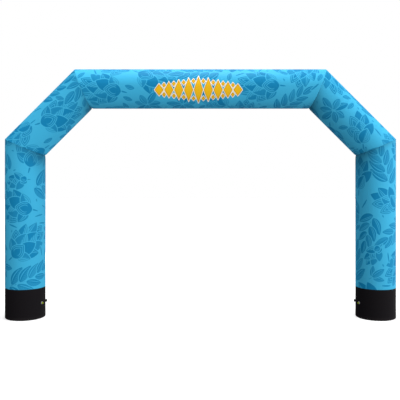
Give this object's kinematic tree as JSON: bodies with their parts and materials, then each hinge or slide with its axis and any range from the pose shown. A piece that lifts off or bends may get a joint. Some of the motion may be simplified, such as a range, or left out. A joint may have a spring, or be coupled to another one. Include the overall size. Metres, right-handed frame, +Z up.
{
  "type": "inflatable arch",
  "caption": "Free-standing inflatable event arch: one sealed round tube, upright legs, 45 degree shoulders and a level beam, on plain black bases.",
  "frame": {"origin": "on the ground, midway between the two feet", "axes": "+X along the arch's width to the right seen from the front, +Y through the arch from front to back, +Z up"},
  "size_m": [6.008, 0.6, 3.8138],
  "materials": {
    "printed_cloth": "satin coated polyester, printed blue on blue with closed buds and leaves",
    "black_cloth": "plain black coated polyester",
    "grey_plastic": "moulded valve ring",
    "green_plastic": "yellow-green valve cap",
    "black_plastic": "moulded relief valve"
  },
  "bodies": {
    "root": {"beam": "printed_cloth", "shoulder_left": "printed_cloth", "shoulder_right": "printed_cloth", "leg_left": "printed_cloth", "leg_right": "printed_cloth", "base_left": "black_cloth", "base_right": "black_cloth", "inflation_valve_left": "grey_plastic", "inflation_valve_right": "grey_plastic", "inflation_cap_left": "green_plastic", "inflation_cap_right": "green_plastic", "relief_valve_left": "black_plastic", "relief_valve_right": "black_plastic"}
  },
  "joints": []
}
